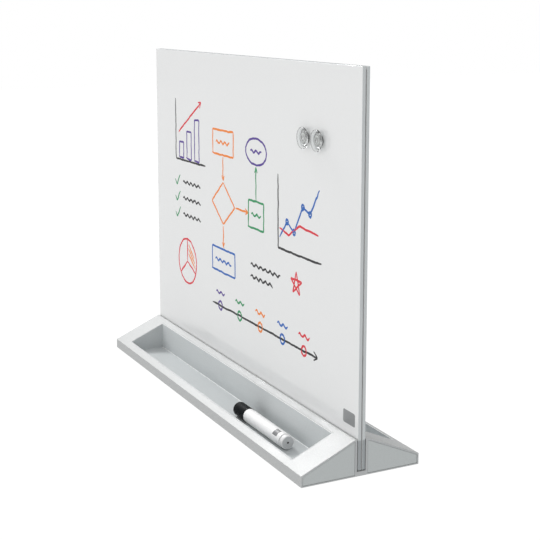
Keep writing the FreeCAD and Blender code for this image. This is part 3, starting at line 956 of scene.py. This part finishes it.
@dataclass
class Magnets:
    """The two clear spools, each with a turned metal disc in its foot."""

    foot_radius: float = 8.4 * MM
    foot_thickness: float = 1.4 * MM
    edge: float = 0.5 * MM
    softness: float = 0.3 * MM
    pocket_radius: float = 6.65 * MM
    pocket_depth: float = 2.6 * MM
    flank_foot: Pair = (7.9 * MM, 1.9 * MM)
    flank_rim: Pair = (12.3 * MM, 3.9 * MM)
    flank_sweep: float = 5.0 * MM
    rim_low: float = 4.4 * MM
    rim_radius: float = 12.8 * MM
    rim_inner: float = 11.6 * MM
    height: float = 6.2 * MM
    dish_radius: float = 6.6 * MM
    dish_level: float = 5.4 * MM
    boss_radius: float = 3.6 * MM
    boss_drop: float = 0.4 * MM
    disc_radius: float = 6.6 * MM
    disc_edge: float = 0.25 * MM
    groove_outer: float = 3.4 * MM
    groove_inner: float = 2.6 * MM
    groove_slope: float = 0.2 * MM

    def build(self) -> None:
        """Builds both spools and both discs."""
        knob = self.build_knob()
        disc = self.build_disc()
        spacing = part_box("right_magnet_knob")[0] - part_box("left_magnet_knob")[0]
        for side, shift in (("left", Vector((0, 0, 0))), ("right", spacing)):
            spool = knob.copy(f"{side}_clear_spool", shift)
            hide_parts(f"{side}_magnet_knob")
            spool.dress(f"{side}_magnet", "knob_clear", KNOB_ACRYLIC)
            metal = disc.copy(f"{side}_metal_disc", shift)
            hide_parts(f"{side}_magnet_disc")
            low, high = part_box(f"{side}_magnet_disc")
            nickel = replace(DISC_NICKEL, centre=tuple((low + high) / 2))
            metal.dress(f"{side}_magnet", "disc_nickel", nickel)
            # Near black sides, a painted dark reflection in the clear spool
            metal.paint(DISC_SIDE_DARKENED, lambda middle, normal: abs(normal.y) < STRAIGHT)
        for model in (knob, disc):
            bpy.data.objects.remove(model.shape)

    @staticmethod
    def foot(node: str) -> Vector:
        """Gives the middle of the side of a magnet's node that is turned to the glass."""
        low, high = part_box(node)
        return Vector(((low.x + high.x) / 2, high.y, (low.z + high.z) / 2))

    def build_knob(self) -> Piece:
        """Turns the clear spool.

        Returns:
            The spool at the left place.
        """
        low, high = Vector(self.flank_foot), Vector(self.flank_rim)
        chord = high - low
        reach = math.sqrt(self.flank_sweep**2 - chord.length_squared / 4)
        centre = (low + high) / 2 + Vector((chord.y, -chord.x)).normalized() * reach
        ends = (math.degrees(math.atan2(end.y - centre.y, end.x - centre.x)) for end in (low, high))
        boss_top = self.height - self.boss_drop
        outline = [
            (0, self.pocket_depth),
            (self.pocket_radius, self.pocket_depth),
            (self.pocket_radius, 0),
            (self.foot_radius - self.edge, 0),
            (self.foot_radius, self.edge),
            (self.foot_radius, self.foot_thickness),
            *arc(tuple(centre), self.flank_sweep, *ends, 12),
            (self.rim_radius, self.rim_low),
            *arc((self.rim_radius - self.edge, self.height - self.edge), self.edge, 0, 90, 5),
            (self.rim_inner, self.height),
            (self.dish_radius, self.dish_level),
            (self.boss_radius, self.dish_level),
            *arc((self.boss_radius - self.edge, boss_top - self.edge), self.edge, 0, 90, 4),
            (0, boss_top),
        ]
        knob = Piece.turned("spool_model", outline, self.foot("left_magnet_knob"), FORWARDS, sides=128)
        knob.bevel(self.softness, segments=3)
        return knob

    def build_disc(self) -> Piece:
        """Turns the metal disc with a chamfered foot and a shallow groove in its inner face.

        Returns:
            The disc at the left place.
        """
        low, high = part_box("left_magnet_disc")
        thick = high.y - low.y
        radius, edge = self.disc_radius, self.disc_edge
        outline = [
            (0, 0),
            (radius - edge, 0),
            (radius, edge),
            (radius, thick - edge),
            (radius - edge, thick),
            (self.groove_outer, thick),
            (self.groove_outer - self.groove_slope, thick - edge),
            (self.groove_inner + self.groove_slope, thick - edge),
            (self.groove_inner, thick),
            (0, thick),
        ]
        disc = Piece.turned("disc_model", outline, self.foot("left_magnet_disc"), FORWARDS)
        disc.smooth()
        return disc


@dataclass
class Marker:
    """The dry wipe marker with its cap, plug, nib and ink reservoir."""

    barrel_radius: float = 8.7 * MM
    barrel_bore: float = 7.2 * MM
    neck_radius: float = 7.4 * MM
    neck_bore: float = 5.9 * MM
    wall: float = 1.5 * MM
    shoulder_gap: float = 0.2 * MM
    shoulder_radius: float = 0.35 * MM
    fine_edge: float = 0.1 * MM
    # The printed patch's limits, back from the barrel's end
    print_start: float = 18.5 * MM
    print_end: float = 7.5 * MM
    cap_radius: float = 9.1 * MM
    cap_corner: float = 2.4 * MM
    cap_bore: float = 7.5 * MM
    cap_end: float = 1.8 * MM
    mouth_edge: float = 0.25 * MM
    # The ring's limits, back from the cap's mouth
    ring_near: float = 2.2 * MM
    ring_far: float = 3.1 * MM
    ring_slope: float = 0.2 * MM
    ring_depth: float = 0.12 * MM
    plug_radius: float = 8.4 * MM
    plug_face: float = 7.4 * MM
    plug_shoulder: float = 1.6 * MM
    plug_spigot: float = 7.15 * MM
    groove_radius: float = 7.6 * MM
    groove_width: float = 1.3 * MM
    dimple_radius: float = 1.4 * MM
    dimple_depth: float = 1.2 * MM
    dimple_edge: float = 0.35 * MM
    collar_bore: float = 2.45 * MM
    collar_nose: float = 3.5 * MM
    collar_cone: float = 5.7 * MM
    collar_spigot: float = 5.85 * MM
    collar_edge: float = 0.2 * MM
    flange_radius: float = 7.0 * MM
    flange_width: float = 2.2 * MM
    nib_radius: float = 2.4 * MM
    nib_point: float = 0.7 * MM
    nib_round: float = 0.4 * MM
    nib_cone: float = 4.4 * MM
    nib_slope: float = 0.5 * MM
    wadding_corner: float = 0.8 * MM

    def build(self) -> None:
        """Builds every piece of the marker."""
        self.build_cap()
        self.build_barrel()
        self.build_plug()
        self.build_collar()
        self.build_nib()
        self.build_wadding()

    @staticmethod
    def place() -> Vector:
        """Gives the point on the marker's axis where x is 0."""
        low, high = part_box("marker_cap")
        return Vector((0, (low.y + high.y) / 2, (low.z + high.z) / 2))

    def turn(self, name: str, outline: Outline, node: str) -> Piece:
        """Turns a piece round the marker's axis that stands for a CAD node.

        Args:
            name: The new piece's name.
            outline: Radius and x of each ring.
            node: The CAD node.

        Returns:
            The turned piece, smoothed.
        """
        piece = Piece.turned(name, outline, self.place(), RIGHTWARDS)
        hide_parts(node)
        piece.smooth()
        return piece

    def build_cap(self) -> None:
        """Turns the black cap with a rounded end and a shallow ring near its mouth."""
        start, end = span("marker_cap")
        radius, corner = self.cap_radius, self.cap_corner
        outline = [
            (0, start + self.cap_end),
            (self.cap_bore, start + self.cap_end),
            (self.cap_bore, end),
            (radius - self.mouth_edge, end),
            (radius, end - self.mouth_edge),
            (radius, end - self.ring_near),
            (radius - self.ring_depth, end - self.ring_near - self.ring_slope),
            (radius - self.ring_depth, end - self.ring_far + self.ring_slope),
            (radius, end - self.ring_far),
            *arc((radius - corner, start + corner), corner, 0, -90, 8),
            (0, start),
        ]
        cap = self.turn("black_cap", outline, "marker_cap")
        cap.dress("marker_cap", "marker_black", MARKER_BLACK)

    def build_barrel(self) -> None:
        """Turns the hollow white barrel with its neck and a rounded shoulder."""
        start, end = span("marker_barrel")
        shoulder = span("marker_cap")[1] + self.shoulder_gap
        radius, soft = self.barrel_radius, self.shoulder_radius
        outline = [
            (self.neck_bore, start),
            (self.neck_radius, start),
            (self.neck_radius, shoulder),
            *arc((radius - soft, shoulder + soft), soft, -90, 0, 4),
            (radius, end - self.fine_edge),
            (radius - self.fine_edge, end),
            (self.barrel_bore, end),
            (self.barrel_bore, shoulder + self.wall),
            (self.neck_bore, shoulder + self.wall),
        ]
        barrel = self.turn("white_barrel", outline, "marker_barrel")
        centre = self.place()
        white = replace(MARKER_PRINT, axis_y=centre.y, axis_z=centre.z, start=end - self.print_start,
                        end=end - self.print_end)
        barrel.dress("marker", "marker_white", white)

    def build_plug(self) -> None:
        """Turns the plug with its groove, its rounded shoulder and the dimple in its face."""
        start, end = span("marker_end_plug")
        joint = span("marker_barrel")[1]
        groove_end = joint + self.groove_width
        dimple_floor = end - self.dimple_depth
        outline = [
            (0, start),
            (self.plug_spigot, start),
            (self.plug_spigot, joint),
            (self.groove_radius, joint),
            (self.groove_radius, groove_end),
            (self.plug_radius - self.fine_edge, groove_end),
            (self.plug_radius, groove_end + self.fine_edge),
            *arc((self.plug_face, end - self.plug_shoulder), self.plug_radius - self.plug_face, 0, 90, 8,
                 rise=self.plug_shoulder),
            (self.dimple_radius + self.dimple_edge, end),
            (self.dimple_radius, end - self.dimple_edge),
            (self.dimple_radius, dimple_floor),
            (0, dimple_floor),
        ]
        plug = self.turn("barrel_plug", outline, "marker_end_plug")
        plug.dress("marker", "marker_white", MARKER_WHITE)
        centre = self.place()
        # Painted shade on the plug's flat end face
        plug.paint(MARKER_FACE_SHADED, lambda middle, normal: normal.x > STRAIGHT and middle.x > end - SAME_CORNER)
        # Painted shade in the groove and the dimple
        plug.paint(MARKER_RECESS_SHADE, lambda middle, normal: (middle - centre - RIGHTWARDS * middle.x).length
                   < (self.groove_radius + SAME_CORNER if middle.x < dimple_floor - SAME_CORNER
                      else self.dimple_radius))

    def build_collar(self) -> None:
        """Turns the collar that holds the nib."""
        start, end = span("marker_nib_holder")
        flange_end = span("marker_barrel")[0]
        flange_start = flange_end - self.flange_width
        radius, edge = self.flange_radius, self.collar_edge
        outline = [
            (self.collar_bore, start),
            (self.collar_nose - edge, start),
            (self.collar_nose, start + edge),
            (self.collar_cone, flange_start),
            (radius - edge, flange_start),
            (radius, flange_start + edge),
            (radius, flange_end - edge),
            (radius - edge, flange_end),
            (self.collar_spigot, flange_end),
            (self.collar_spigot, end),
            (self.collar_bore, end),
        ]
        collar = self.turn("nib_collar", outline, "marker_nib_holder")
        collar.dress("marker", "marker_black", MARKER_BLACK)

    def build_nib(self) -> None:
        """Turns the felt nib with its rounded point."""
        start, end = span("marker_nib")
        cone_end = start + self.nib_cone
        outline = [
            (0, start),
            *arc((self.nib_point, start + self.nib_round), self.nib_round, -90, -20, 4),
            (self.nib_radius - self.fine_edge, cone_end - self.nib_slope),
            (self.nib_radius, cone_end),
            (self.nib_radius, end),
            (0, end),
        ]
        nib = self.turn("felt_nib", outline, "marker_nib")
        nib.dress("marker", "marker_fibre", NIB_FELT)

    def build_wadding(self) -> None:
        """Turns the ink reservoir with the pocket that the nib reaches into."""
        nib_end = span("marker_nib")[1]
        low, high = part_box("marker_ink_reservoir")
        soft = self.wadding_corner
        corner = (high.z - low.z) / 2 - soft
        outline = [
            (0, nib_end),
            (self.collar_bore, nib_end),
            (self.collar_bore, low.x),
            *arc((corner, low.x + soft), soft, -90, 0, 4),
            *arc((corner, high.x - soft), soft, 0, 90, 4),
            (0, high.x),
        ]
        wadding = self.turn("ink_wadding", outline, "marker_ink_reservoir")
        wadding.dress("marker", "marker_wadding", WADDING)


@dataclass
class Sketch:
    """Plain charts drawn on the glass by hand, one joined piece for each ink.

    Places on the board, and the lengths of what is drawn there, are in mm.
    """

    width: float = 3.4 * MM
    thickness: float = 0.06 * MM
    step: float = 5.0
    wobble: float = 0.35
    seed: int = 11
    overshoot: Pair = (2.0, 0.6)
    loop_start: float = 100.0
    loop_end: float = 480.0
    loop_steps: int = 26
    barb_turn: float = 0.5
    wave_step: float = 4.0
    wave_turn: float = 1.9
    landing: float = 0.6
    swelling: float = 0.25
    pressure: Pair = (0.88, 1.08)

    def __post_init__(self) -> None:
        """Starts the hand's wobble and the empty lists of strokes."""
        self.hand = random.Random(self.seed)
        self.strokes: dict[Ink, list[Outline]] = {ink: [] for ink in Ink}

    def line(self, ink: Ink, *corners: Pair) -> None:
        """Draws one stroke through corners.

        Args:
            ink: The pen.
            *corners: Places on the board, x and z.
        """
        points: Outline = []
        for (x0, z0), (x1, z1) in pairwise(corners):
            count = max(2, round(math.dist((x0, z0), (x1, z1)) / self.step))
            shares = (part / count for part in range(count))
            points += [(x0 + (x1 - x0) * share, z0 + (z1 - z0) * share) for share in shares]
        points.append(corners[-1])
        self.strokes[ink].append([(x + self.hand.gauss(0, self.wobble), z + self.hand.gauss(0, self.wobble))
                                  for x, z in points])

    def box(self, ink: Ink, left: float, low: float, right: float, high: float) -> None:
        """Draws a box in one stroke that runs a little past its start."""
        past = (left - self.overshoot[0], low + self.overshoot[1])
        self.line(ink, (left, low), (left, high), (right, high), (right, low), past)

    def loop(self, ink: Ink, x: float, z: float, wide: float, high: float) -> None:
        """Draws an oval, given by its middle and half its sizes, in one stroke that overlaps its start."""
        self.line(ink, *arc((x, z), wide, self.loop_start, self.loop_end, self.loop_steps, rise=high))

    def arrow(self, ink: Ink, start: Pair, end: Pair, size: float = 8.0) -> None:
        """Draws a shaft and a head in two strokes.

        Args:
            ink: The pen.
            start: Where the shaft starts.
            end: Where the head points.
            size: Length of the head's barbs.
        """
        self.line(ink, start, end)
        heading = math.atan2(end[1] - start[1], end[0] - start[0])
        barbs = [(end[0] - size * math.cos(heading + turn), end[1] - size * math.sin(heading + turn))
                 for turn in (self.barb_turn, -self.barb_turn)]
        self.line(ink, barbs[0], end, barbs[1])

    def wave(self, ink: Ink, left: float, right: float, z: float, height: float = 2.2) -> None:
        """Draws a wavy line that stands for a row of writing.

        Args:
            ink: The pen.
            left: Where it starts.
            right: Where it ends.
            z: The height it runs at.
            height: How far it swings up and down.
        """
        parts = range(round((right - left) / self.wave_step) + 1)
        self.line(ink, *[(left + self.wave_step * part, z + height * math.sin(part * self.wave_turn))
                         for part in parts])

    def draw(self) -> None:
        """Draws every motif of the sketch."""
        self.draw_bar_chart()
        self.draw_check_list()
        self.draw_pie()
        self.draw_flow()
        self.draw_graph()
        self.draw_timeline()

    def draw_bar_chart(self) -> None:
        """Draws the bar chart in the upper left."""
        self.line(Ink.BLACK, (-225, 388), (-225, 300), (-118, 300))
        for left, high in ((-212, 326), (-184, 343), (-156, 362)):
            self.box(Ink.PURPLE, left, 303, left + 16, high)
        self.arrow(Ink.RED, (-214, 340), (-132, 388), 10)

    def draw_check_list(self) -> None:
        """Draws the ticked rows below the bar chart."""
        for z in (268, 244, 220):
            self.line(Ink.GREEN, (-229, z), (-223, z - 7), (-211, z + 9))
            self.wave(Ink.BLACK, -200, -136, z)

    def draw_pie(self) -> None:
        """Draws the pie chart in the lower left."""
        self.loop(Ink.RED, -186, 152, 33, 33)
        for end in ((-186, 186), (-156, 138), (-212, 131)):
            self.line(Ink.RED, (-186, 152), end)
        for shift in (0, 7, 14):
            self.line(Ink.ORANGE, (-182, 178 - shift), (-162 + shift * 0.3, 160 - shift))

    def draw_flow(self) -> None:
        """Draws the flow chart in the middle."""
        self.box(Ink.ORANGE, -92, 322, -26, 356)
        self.wave(Ink.ORANGE, -82, -38, 339)
        self.arrow(Ink.ORANGE, (-59, 320), (-59, 288))
        self.line(Ink.ORANGE, (-59, 285), (-22, 256), (-59, 228), (-96, 256), (-58, 286))
        self.arrow(Ink.ORANGE, (-59, 225), (-59, 196))
        self.box(Ink.BLUE, -96, 160, -22, 193)
        self.wave(Ink.BLUE, -86, -34, 176)
        self.arrow(Ink.ORANGE, (-20, 256), (18, 256))
        self.box(Ink.GREEN, 20, 238, 64, 274)
        self.wave(Ink.GREEN, 28, 56, 256)
        self.arrow(Ink.GREEN, (42, 276), (42, 318))
        self.loop(Ink.PURPLE, 42, 338, 30, 17)
        self.wave(Ink.PURPLE, 26, 58, 338)

    def draw_graph(self) -> None:
        """Draws the line graph on the right, with a star below it."""
        self.line(Ink.BLACK, (104, 318), (104, 226), (214, 226))
        readings = ((128, 262), (146, 252), (168, 286), (186, 280))
        self.line(Ink.BLUE, (108, 240), *readings, (208, 312))
        for x, z in readings:
            self.loop(Ink.BLUE, x, z, 3, 3)
        self.line(Ink.RED, (108, 252), (132, 246), (160, 262), (206, 258))
        self.line(Ink.RED, *arc((152, 190), 15, 90, 810, 5))

    def draw_timeline(self) -> None:
        """Draws the time line along the foot of the board, with two rows of writing over it."""
        self.arrow(Ink.BLACK, (-96, 112), (206, 112), 11)
        for x, ink in ((-70, Ink.PURPLE), (-8, Ink.GREEN), (54, Ink.ORANGE), (116, Ink.BLUE), (172, Ink.RED)):
            self.loop(ink, x, 112, 6, 6)
            self.wave(ink, x - 14, x + 14, 130)
        self.wave(Ink.BLACK, 26, 110, 190)
        self.wave(Ink.BLACK, 26, 92, 174)

    def build(self) -> None:
        """Lays every stroke on the glass."""
        self.draw()
        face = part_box("front_glass")[0].y
        for ink, strokes in self.strokes.items():
            curve = bpy.data.curves.new(f"sketch_{ink.name.lower()}", "CURVE")
            curve.dimensions = "3D"
            curve.bevel_depth = self.width / 2
            curve.bevel_resolution = 1
            curve.resolution_u = 3
            curve.use_fill_caps = True
            for stroke in strokes:
                self.add_spline(curve, stroke, face)
            shape = bpy.data.objects.new(curve.name, curve)
            bpy.context.scene.collection.objects.link(shape)
            select_only(shape)
            bpy.ops.object.convert(target="MESH")
            piece = Piece(curve.name)
            with piece.editing():
                bpy.ops.mesh.select_all(action="SELECT")
                flat = self.thickness / self.width * 2
                bpy.ops.transform.resize(value=(1, flat, 1), center_override=(0, face, 0))
                bpy.ops.mesh.normals_make_consistent(inside=False)
            piece.smooth()
            piece.dress("board", "board_glass", ink.value)

    def add_spline(self, curve: bpy.types.Curve, stroke: Outline, face: float) -> None:
        """Adds a stroke to a curve, thin where the pen lands and leaves.

        Args:
            curve: The curve of one ink.
            stroke: The stroke's points.
            face: The glass face's y in metres.
        """
        spline = curve.splines.new("NURBS")
        spline.points.add(len(stroke) - 1)
        for index, (point, (x, z)) in enumerate(zip(spline.points, stroke)):
            point.co = (x * MM, face, z * MM, 1)
            ends = min(index, len(stroke) - 1 - index)
            swell = min(1.0, self.landing + self.swelling * ends)
            point.radius = swell * self.hand.uniform(*self.pressure)
        spline.order_u = 3
        spline.use_endpoint_u = True


@dataclass(frozen=True)
class Card:
    """A round card far out in the room, with a soft border."""

    heading: Triple
    # Cosines, off its middle, where its border starts and where it ends
    border: float
    full: float

    def mask(self, graph: Graph, heading: Socket) -> Socket:
        """Gives 1 where a view meets the card."""
        return graph.rise(graph.dot(heading, Vector(self.heading).normalized()), self.border, self.full)


@dataclass
class Studio:
    """The white floor, the light and the camera."""

    lens: float = 77.874
    sensor: float = 36.0
    shift: float = -0.14
    nearest: float = 0.01
    eye: Triple = (1.3626, -0.6499, 0.5193)
    pitch: float = 9.1135
    heading: float = 63.258
    floor_size: float = 12.0
    floor_seen: float = 1.0
    floor_glow: float = 0.75
    floor_through: float = 0.25
    front: float = 2.1
    left: float = 0.8
    right: float = 0.75
    rear: float = 1.1
    side_focus: float = 4.0
    top: float = 0.88
    top_focus: float = 2.0
    key_power: float = 150.0
    key_place: Triple = (-4.2, -0.3, 4.2)
    key_target: Triple = (0.05, 0.0, 0.15)
    key_size: float = 1.5
    room_gloss: float = 0.75
    wall_gloss: float = 2.2
    wall: Card = Card((-0.68, 0.0, 0.73), 0.90, 1.0)
    dark_cards: tuple[Card, ...] = (
        Card((0.85, -0.45, 0.25), 0.55, 0.80),
        Card((-0.75, 0.62, 0.12), 0.80, 0.97),
    )
    card_darkness: float = 0.95
    clear_room: float = 1.2
    clear_border: float = 0.3

    def build(self) -> None:
        """Builds the floor, the light and the camera."""
        self.build_floor()
        self.build_world()
        self.build_key()
        self.build_camera()

    def build_floor(self) -> None:
        """Lays the white floor."""
        drop_selection()
        bpy.ops.mesh.primitive_plane_add(size=self.floor_size, location=(0, 0, 0))
        floor = bpy.context.active_object
        floor.name = "floor"
        floor.data.materials.append(self.floor_finish())

    def floor_finish(self) -> bpy.types.Material:
        """Builds the paper of the floor.

        Returns:
            A white material that glows enough to stay white in a shadow.
        """
        paper = FLOOR_PAPER.make()
        shader = paper.node_tree.nodes["Principled BSDF"]
        shader.inputs["Emission Color"].default_value = WHITE
        graph = Graph(paper.node_tree)
        rays = graph.add("ShaderNodeLightPath").outputs
        glow = graph.choose(self.through_clear(graph, rays), self.floor_glow, self.floor_through)
        glow = graph.choose(rays["Is Camera Ray"], glow, self.floor_seen)
        graph.tree.links.new(glow, shader.inputs["Emission Strength"])
        return paper

    @staticmethod
    def through_clear(graph: Graph, rays: Sockets) -> Socket:
        """Gives 1 for a ray that leaves a clear piece and hasn't met a matt surface."""
        matt = graph.math("MINIMUM", rays["Diffuse Depth"], 1.0)
        return graph.math("MULTIPLY", rays["Is Transmission Ray"], graph.math("SUBTRACT", 1.0, matt))

    def build_world(self) -> None:
        """Builds the light around the object, which depends on how a ray has come there."""
        world = bpy.data.worlds.new("studio")
        bpy.context.scene.world = world
        world.use_nodes = True
        graph = Graph(world.node_tree)
        heading = graph.add("ShaderNodeTexCoord").outputs["Generated"]
        soft = self.soft_light(graph, heading)
        leftwards = graph.dot(heading, (-1.0, 0.0, 0.0))
        clear = graph.rise(leftwards, -self.clear_border, self.clear_border)
        clear = graph.math("MULTIPLY", clear, self.clear_room)
        rays = graph.add("ShaderNodeLightPath").outputs
        level = graph.choose(rays["Is Glossy Ray"], soft, self.studio_cards(graph, heading))
        level = graph.choose(rays["Is Transmission Ray"], level, soft)
        level = graph.choose(self.through_clear(graph, rays), level, clear)
        level = graph.choose(rays["Is Camera Ray"], level, 1.0)
        background = world.node_tree.nodes["Background"]
        background.inputs["Color"].default_value = WHITE
        graph.tree.links.new(level, background.inputs["Strength"])

    def soft_light(self, graph: Graph, heading: Socket) -> Socket:
        """Gives the strength of the soft light by its heading.

        Args:
            graph: The world's graph.
            heading: The heading of the light.

        Returns:
            The strength.
        """
        sides = (
            ((0, -1, 0), self.front, self.side_focus),
            ((1, 0, 0), self.right, self.side_focus),
            ((-1, 0, 0), self.left, self.side_focus),
            ((0, 1, 0), self.rear, self.side_focus),
            ((0, 0, 1), self.top, self.top_focus),
        )
        total = 0.0
        for side, strength, focus in sides:
            facing = graph.math("POWER", graph.math("MAXIMUM", graph.dot(heading, side), 0.0), focus)
            total = graph.math("MULTIPLY_ADD", facing, strength, total)
        return total

    def studio_cards(self, graph: Graph, heading: Socket) -> Socket:
        """Gives what shows in glossy surfaces: a bright room with a wall of light and dark cards.

        Args:
            graph: The world's graph.
            heading: The heading of the view.

        Returns:
            The strength.
        """
        room = graph.math("MULTIPLY_ADD", self.wall.mask(graph, heading), self.wall_gloss, self.room_gloss)
        for card in self.dark_cards:
            kept = graph.math("MULTIPLY_ADD", card.mask(graph, heading), -self.card_darkness, 1.0)
            room = graph.math("MULTIPLY", room, kept)
        return room

    def build_key(self) -> None:
        """Hangs the soft key light up on the left in front."""
        place = Vector(self.key_place)
        drop_selection()
        bpy.ops.object.light_add(type="AREA", location=place)
        key = bpy.context.active_object
        key.name = "key_light"
        key.data.energy = self.key_power
        key.data.size = self.key_size
        key.rotation_euler = (Vector(self.key_target) - place).to_track_quat("-Z", "Y").to_euler()

    def build_camera(self) -> None:
        """Sets the camera at the photograph's viewing angle."""
        drop_selection()
        turn = (math.radians(90 - self.pitch), 0, math.radians(self.heading))
        bpy.ops.object.camera_add(location=self.eye, rotation=turn)
        camera = bpy.context.active_object
        camera.name = "camera"
        camera.data.lens = self.lens
        camera.data.sensor_width = self.sensor
        camera.data.shift_y = self.shift
        camera.data.clip_start = self.nearest
        bpy.context.scene.camera = camera
        bpy.context.scene.view_settings.view_transform = "Standard"


def main() -> None:
    """Builds the easel and its studio in order."""
    for part in (Rail(), Board(), Magnets(), Marker(), Sketch(), Studio()):
        LOG.info("building %s", type(part).__name__)
        part.build()


if __name__ == "__main__":
    logging.basicConfig(level=logging.INFO, format="%(name)s: %(message)s")
    main()
